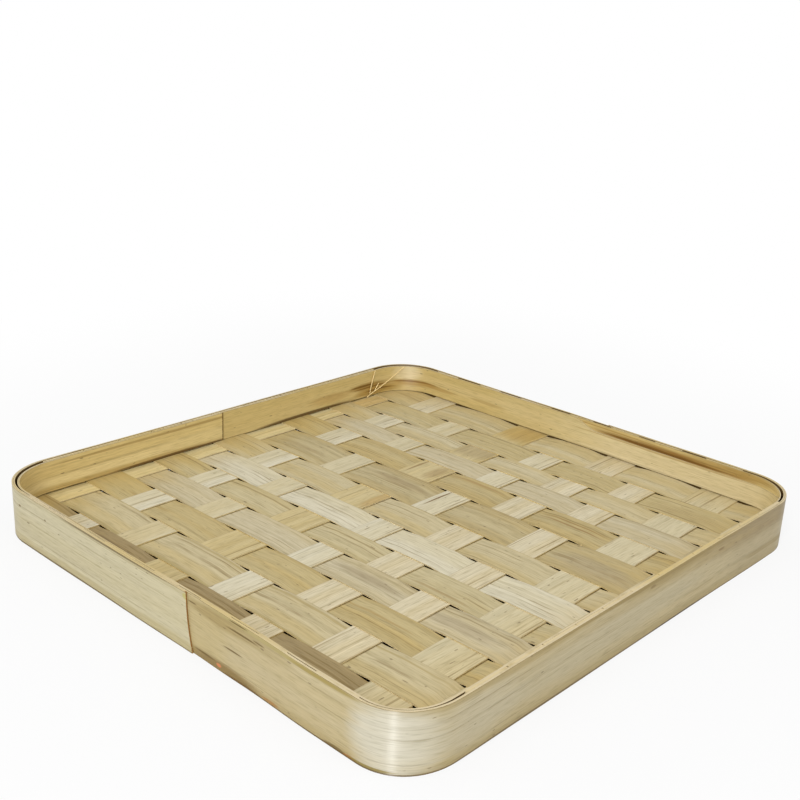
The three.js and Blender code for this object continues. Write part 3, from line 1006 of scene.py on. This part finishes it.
OUTER_B_MARKS = [
    *from_place(front_right, (-5, 28.4, 100, 1.2, (150, 128, 70), 0.8)),
    *from_place(loop_length,
        (-72, 28.6, 45, 1.4, OLIVE, 0.75), (-105, 28, 22, 1.2, (158, 138, 70), 0.75),
        (-55, 24.6, 13, 0.6, DARK, 0.95), (-49.3, 14.2, 7.5, 0.6, DARK, 0.95),
        (-53, 28.4, 7, 0.5, DARK, 0.95), (-66.2, 25.6, 5, 0.5, DARK, 0.9),
        (-21.2, 25.5, 4, 0.5, DARK, 0.9), (-30, 4, 10, 0.6, DARK, 0.9),
        (-56, 1, 17, 1.2, (112, 84, 36), 0.9), (-39.8, 3, 2.2, 1.1, (214, 132, 84), 0.9),
        (-74, 2, 7, 1, (168, 120, 60), 0.8), (-113, 1.4, 8, 1.3, DARK, 0.85),
        (-121, 1.2, 4, 1.2, (168, 100, 40), 0.8), (-130, 1.8, 12, 0.7, (138, 118, 40), 0.85),
        (-90, 0.6, 70, 0.9, BOTTOM_EDGE_DARK, 0.85)),
    *from_place(front_right,
        (30, 0.7, 200, 1, BOTTOM_EDGE_DARK, 0.85), (-30, 0.6, 40, 1.1, (60, 44, 18), 0.9),
        (-4, 26.2, 2.8, 0.9, (134, 110, 58), 0.8), (-68, 23.8, 4, 1, (132, 106, 56), 0.8)),
]
print(len(OUTER_A_MARKS) + len(OUTER_B_MARKS), "marks on the outer hoop")

# %% [markdown]
# The inner strips have a dark foot where they press on the mat, painted contact shade and dirt, and strip
# b has a pale band of painted light just above its foot on the back right side. There is a long brown
# streak above strip b on the back right side, brown bands low in the back corner, a pale painted highlight
# in the back bend, and a thin dark line at the joint, painted shade of the gap there. Strip a runs past
# the start of the loop, so its places on the back right side count back from there.

# %% Stains, painted light and painted shade of the inner hoop
behind_right = back_right - loop_length
back_bend = SIDES[1]["corner_start"] + 0.0230
INNER_A_WASHES = [
    *from_place(back_left,
        (-85, 11.6, 80, 2.4, (184, 154, 88), 0.6), (-150, 22, 40, 11, (192, 162, 96), 0.2),
        (-95, 16, 60, 3, (232, 212, 156), 0.5)),
    *from_place(behind_right,
        (30, 28.5, 130, 6, (204, 180, 118), 0.8), (72, 23.8, 66, 3, (142, 102, 34), 0.95),
        (110, 26.2, 36, 3, (168, 134, 64), 0.8)),
]
# Marks at about 10 to 11 mm high are the dark foot: painted contact shade and dirt.
INNER_A_MARKS = [
    (0, 10.2, 9000, 1.3, (92, 66, 22), 0.9),
    *from_place(back_left,
        (-45, 11.2, 50, 1.6, (92, 64, 18), 0.9), (-50, 26.2, 100, 1, (150, 120, 58), 0.6)),
    *from_place(behind_right,
        (60, 24.2, 56, 1, (112, 76, 18), 0.9), (30, 26.8, 60, 0.6, (168, 134, 66), 0.7)),
    # Painted shade: a thin dark line on strip a just before its end, where the joint's gap is in shadow.
    *from_place(inner_end_a, (-0.2, 20, 0.8, 30, (100, 74, 28), 0.85)),
]
INNER_B_WASHES = [
    # Painted light: the first, pale wash low on the strip lifts the contact shade just above its foot.
    *from_place(back_right,
        (60, 12.2, 80, 2.2, (240, 226, 186), 0.65), (75, 18, 100, 30, (219, 203, 160), 0.85),
        (-20, 18, 50, 20, (212, 194, 142), 0.5)),
    # Painted highlight: a pale wash in the back bend, where the gloss lamps would draw a streak.
    *from_place(back_bend, (0, 24, 13, 7, (226, 209, 164), 0.75)),
    *from_place(back_left,
        (82, 16.5, 24, 4, (184, 152, 90), 0.65), (117, 18, 20, 3.6, (150, 116, 46), 0.85),
        (125, 13.5, 24, 4, (170, 136, 64), 0.8), (158, 16.5, 26, 2.8, (172, 138, 70), 0.75)),
]
# Marks at about 10 to 11 mm high are the dark foot: painted contact shade and dirt.
INNER_B_MARKS = [
    *from_place(back_right, (0, 10, 140, 1.1, (92, 66, 22), 0.9)),
    *from_place(back_left,
        (60, 11, 56, 2, (84, 58, 14), 0.9), (112, 19.2, 12, 0.9, (112, 80, 20), 0.9),
        (122, 17.2, 22, 0.8, (128, 94, 32), 0.85), (128, 14.2, 18, 0.8, (120, 86, 26), 0.85),
        (158, 17.8, 24, 0.8, (130, 94, 34), 0.8)),
    *from_place(back_right,
        (-115, 16.5, 20, 1.6, (172, 138, 74), 0.65), (-70, 18, 20, 1.6, (176, 146, 86), 0.6),
        (60, 22.6, 70, 0.7, (176, 144, 84), 0.7)),
]
print(len(INNER_A_MARKS) + len(INNER_B_MARKS), "marks on the inner hoop")

# %% [markdown]
# The four strips are rows of one table. Each has three finishes: the side that faces the channel, painted
# dark as shade, the cut edges and the face that shows.

# %% Make the four strips of the hoops
HOOPS = [
    ("outer_strip_a", (199, 190, 158), (195, 184, 146), OUTER_A_WASHES, OUTER_A_MARKS,
     (outer_end_a, outer_end_b, OUTER, 0.0, even_top(0.0), 1.0, 0.0040)),
    ("outer_strip_b", (192, 178, 141), (187, 170, 126), OUTER_B_WASHES, OUTER_B_MARKS,
     (outer_end_b, outer_end_a, OUTER, 0.0, even_top(0.0), 2.0)),
    ("inner_strip_a", (220, 201, 146), (212, 187, 121), INNER_A_WASHES, INNER_A_MARKS,
     (inner_end_a, inner_end_b, INNER, inner_hoop_bottom, even_top(INNER_A_DROP), 3.0)),
    ("inner_strip_b", (210, 190, 135), (203, 179, 114), INNER_B_WASHES, INNER_B_MARKS,
     (inner_end_b, inner_end_a, INNER, inner_hoop_bottom, dipped_top, 4.0)),
]
GLOSS = {"outer": {"sheen": 0.30, "brushed": 0.9}, "inner": {"sheen": 0.42, "brushed": 0.4}}
# Painted shade: a dark bamboo for the sides that face the channel.
channel_painted_shade = bamboo("channel_painted_shade", (120, 94, 50), (104, 80, 40), 300.0)
for number, (node, body, warm, washes, marks, shape) in enumerate(HOOPS):
    layer, _, letter = node.split("_")
    piece = hoop_strip(f"{layer}_hoop_{letter}", *shape)
    rim = cut_edge(f"{node}_edge", (202, 186, 150), 5.0 + number, (146, 106, 50))
    face = bamboo(f"{node}_bamboo", body, warm, 200.0 + 11.0 * number, bands=0.16, lines=0.28, dashes=0.40,
                  grooves=0.25, edges=0.9, edge_width=0.035, streaks=18.0, washes=washes, marks=marks,
                  **GLOSS[layer])
    dress(piece, node, f"{layer}_hoop", channel_painted_shade, rim, face)
print(len(HOOPS), "strips made")

# %% [markdown]
# The photograph's camera was found from the tray's own straight lines and size. It stands a little
# above the front corner, with a normal lens.

# %% The camera
camera_data = bpy.data.cameras.new("camera")
camera_data.sensor_width = 36
camera_data.lens = 51.24
camera_data.clip_start = 0.01
camera = bpy.data.objects.new("camera", camera_data)
bpy.context.scene.collection.objects.link(camera)
right = Vector((0.68777, -0.72463, 0.04336))
up = Vector((0.21569, 0.26102, 0.94093))
back = Vector((-0.69314, -0.63779, 0.33582))
stand = Matrix.Translation((-0.4186, -0.37666, 0.27604))
camera.matrix_world = stand @ Matrix((right, up, back)).transposed().to_4x4()
bpy.context.scene.camera = camera
print("camera", round(stand.translation.length, 3), "m from the middle of the tray")

# %% [markdown]
# Three soft lamps light the tray. Two more only make gloss, because the real lamp was close to the
# front corner and drew a bright line down it, and a lamp that near would burn out the pale bamboo.

# %% The lamps
def lamp(name, place, width, height, power, gloss_only=False):
    """A soft box that faces the tray, upright on its shorter side."""
    data = bpy.data.lights.new(name, "AREA")
    data.shape = "RECTANGLE"
    data.size = width
    data.size_y = height
    data.energy = power
    light = bpy.data.objects.new(name, data)
    light.location = place
    light.rotation_mode = "QUATERNION"
    light.rotation_quaternion = (-Vector(place)).to_track_quat("-Z", "Y")
    light.visible_diffuse = not gloss_only
    bpy.context.scene.collection.objects.link(light)


lamp("key", (-1.10, -0.52, 0.95), 0.30, 0.9, 11.0)
lamp("fill", (0.3, -0.9, 1.2), 0.8, 0.8, 2.5)
lamp("top", (-0.2, 0.3, 1.5), 0.9, 0.9, 3.0)
lamp("glint", (-1.44, -0.85, 0.16), 0.05, 0.30, 24.0, gloss_only=True)
lamp("sheen", (-1.42, -0.88, 0.2), 0.45, 0.40, 20.0, gloss_only=True)
print(len(bpy.data.lights), "lamps")

# %% [markdown]
# The room is the world. It lights the tray softly. The camera alone sees it as pure white, because as
# much light as that would wash out the tray's colours.

# %% The room
ROOM_LIGHT = 0.66
room = Finish(bpy.data.worlds.new("pale_room"))
bpy.context.scene.world = room.holder
soft_light = room.node("ShaderNodeBackground", {}, {"Color": (1, 1, 1, 1), "Strength": ROOM_LIGHT})
white = room.node("ShaderNodeBackground", {}, {"Color": (1, 1, 1, 1), "Strength": 1.0})
camera_ray = room.node("ShaderNodeLightPath", {}, {}, output=0)
walls = room.node("ShaderNodeMixShader", {}, {0: camera_ray, 1: soft_light, 2: white})
room.node("ShaderNodeOutputWorld", {}, {"Surface": walls})
print("room light", ROOM_LIGHT)

# %% [markdown]
# The floor is white paper. Far from the tray the camera sees it glow white, like the background. Near the
# tray the glow gives way a little to the lit paper, which shows the tray's shadow. Under the tray the
# paper is painted nearly black, a painted shade, so that the slits of the weave look dark.

# %% The floor
floor_mesh = bmesh.new()
bmesh.ops.create_grid(floor_mesh, x_segments=1, y_segments=1, size=4)
floor_data = bpy.data.meshes.new("floor")
floor_mesh.to_mesh(floor_data)
floor_mesh.free()
floor = bpy.data.objects.new("floor", floor_data)
bpy.context.scene.collection.objects.link(floor)
paper = Finish(bpy.data.materials.new("white_paper"))
east, north = paper.parts(paper.object_place())
rounding = CORNER_RADII["back"]
beyond_x = (east.size() - TRAY_LENGTH / 2 + rounding).most(0.0)
beyond_y = (north.size() - TRAY_WIDTH / 2 + rounding).most(0.0)
beyond = (beyond_x ** 2 + beyond_y ** 2) ** 0.5 - rounding
lit = beyond.between(-0.0013, 0.0) * 0.84 + beyond.between(0.01, 0.35) * 0.16
# Painted shade: the paper under the tray is nearly black.
paper_painted_dark = paper.blend(beyond.between(-0.0016, -0.0003), (0.012, 0.009, 0.006, 1), (0.72, 0.72, 0.72, 1))
glow = paper.node("ShaderNodeEmission", {}, {"Color": (1, 1, 1, 1), "Strength": 1.0})
diffuse = paper.node("ShaderNodeBsdfDiffuse", {}, {"Color": paper_painted_dark})
share = paper.node("ShaderNodeLightPath", {}, {}, output=0) * lit
surface = paper.node("ShaderNodeMixShader", {}, {0: share, 1: diffuse, 2: glow})
paper.node("ShaderNodeOutputMaterial", {}, {"Surface": surface})
floor_data.materials.append(paper.holder)

bpy.context.scene.view_settings.view_transform = "Standard"
print("floor laid")
